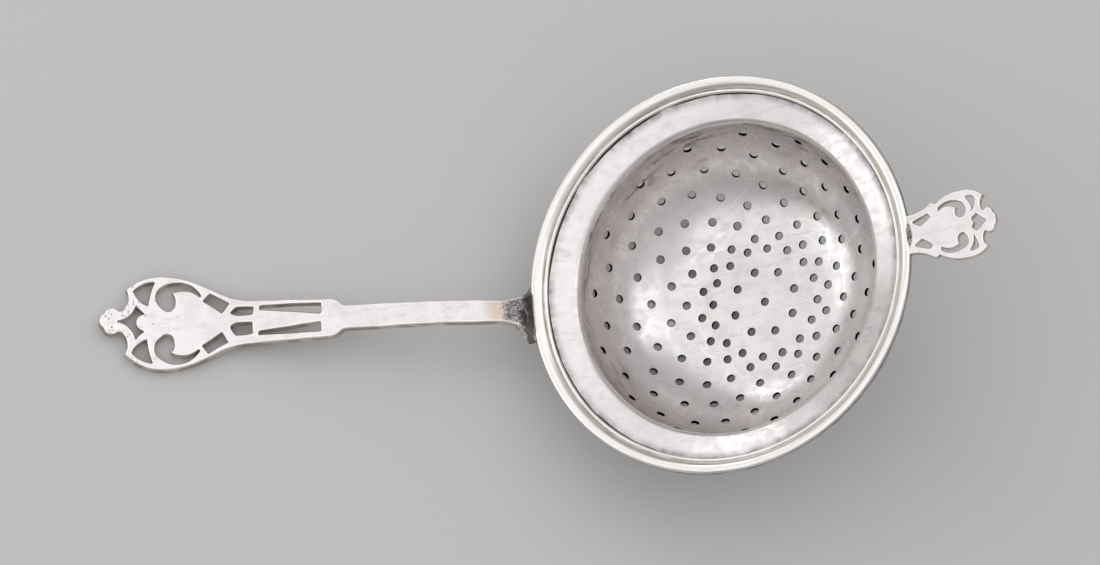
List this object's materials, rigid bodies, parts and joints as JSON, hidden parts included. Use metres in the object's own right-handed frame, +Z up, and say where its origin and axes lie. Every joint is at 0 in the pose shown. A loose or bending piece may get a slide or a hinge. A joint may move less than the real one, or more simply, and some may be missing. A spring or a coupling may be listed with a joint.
{
  "type": "tea strainer",
  "caption": "Silver tea strainer: pierced round bowl with a sloping flange and reeded rim wire, a long pierced handle and a short pierced tab handle opposite.",
  "frame": {"origin": "on the table, at the middle of the bounding box, with the strainer lying as it rests by itself", "axes": "+X towards the tab handle, so the long handle points to -X; +Z up from the table; the rim plane is tilted 26.3 degrees down towards the long handle"},
  "size_m": [0.1479, 0.068, 0.0478],
  "materials": {
    "raised_silver": "worn polished silver sheet, fine concentric polishing lines",
    "drawn_silver": "polished silver wire, tarnish in the groove",
    "sawn_silver": "satin silver plate, softened sawn edges",
    "solder": "dark oxidised silver solder, slightly pitted"
  },
  "bodies": {
    "root": {"strainer_bowl": "raised_silver", "rim_wire": "drawn_silver", "rim_solder": "solder", "long_handle": "sawn_silver", "handle_solder": "solder", "tab_handle": "sawn_silver", "tab_solder": "solder"}
  },
  "joints": []
}
